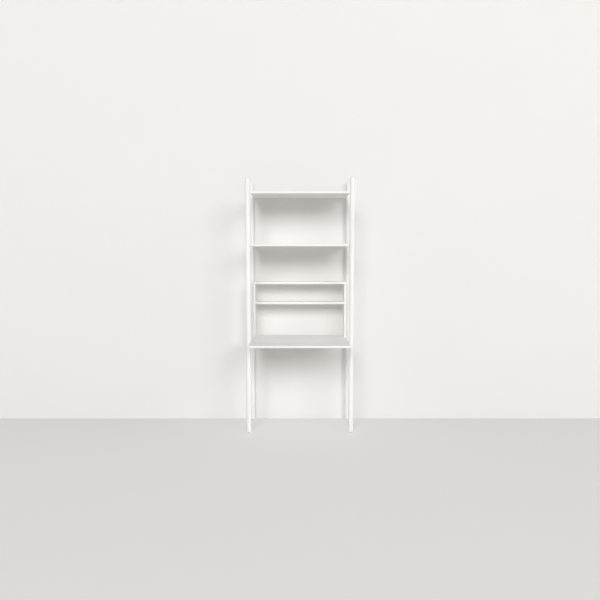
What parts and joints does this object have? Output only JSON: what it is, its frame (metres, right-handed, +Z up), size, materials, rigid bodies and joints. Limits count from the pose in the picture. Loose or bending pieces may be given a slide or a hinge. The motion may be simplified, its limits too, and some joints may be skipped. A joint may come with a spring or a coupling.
{
  "type": "desk with shelves",
  "caption": "White desk with open shelves above it: tall round posts carry the shelves and a forward-reaching desktop with a low open hutch at its rear.",
  "frame": {"origin": "on the floor, at the middle of the overall width and depth", "axes": "+Z up, the front faces -Y, +X to the right seen from the front; the wall is at +Y"},
  "size_m": [0.87, 0.6, 2.06],
  "materials": {
    "post_lacquer": "satin white lacquer",
    "board_lacquer": "satin white lacquer",
    "dowel_beech": "raw beech",
    "zinc_steel": "zinc plated",
    "cam_zinc": "die-cast zinc",
    "bracket_paint": "white powder coat",
    "cap_plastic": "moulded satin",
    "spacer_nylon": "natural nylon",
    "glide_plastic": "grey glide plastic"
  },
  "bodies": {
    "root": {"bracket_screws": "zinc_steel", "desktop": "board_lacquer", "desktop_barrel_nuts": "zinc_steel", "desktop_bolt_caps": "cap_plastic", "desktop_bolts": "zinc_steel", "desktop_spacers": "spacer_nylon", "front_left_glide": "glide_plastic", "front_left_post": "post_lacquer", "front_right_glide": "glide_plastic", "front_right_post": "post_lacquer", "hutch_base_dowels": "dowel_beech", "hutch_left_side": "board_lacquer", "hutch_middle_shelf": "board_lacquer", "hutch_right_side": "board_lacquer", "hutch_shelf_cam_bolts": "zinc_steel", "hutch_shelf_cam_locks": "cam_zinc", "hutch_shelf_dowels": "dowel_beech", "hutch_top": "board_lacquer", "hutch_top_cam_bolts": "zinc_steel", "hutch_top_cam_locks": "cam_zinc", "hutch_top_dowels": "dowel_beech", "left_wall_bracket": "bracket_paint", "rear_left_glide": "glide_plastic", "rear_left_post": "post_lacquer", "rear_right_glide": "glide_plastic", "rear_right_post": "post_lacquer", "right_wall_bracket": "bracket_paint", "second_shelf": "board_lacquer", "second_shelf_barrel_nuts": "zinc_steel", "second_shelf_bolt_caps": "cap_plastic", "second_shelf_bolts": "zinc_steel", "second_shelf_spacers": "spacer_nylon", "top_shelf": "board_lacquer", "top_shelf_barrel_nuts": "zinc_steel", "top_shelf_bolt_caps": "cap_plastic", "top_shelf_bolts": "zinc_steel", "top_shelf_spacers": "spacer_nylon"}
  },
  "joints": []
}
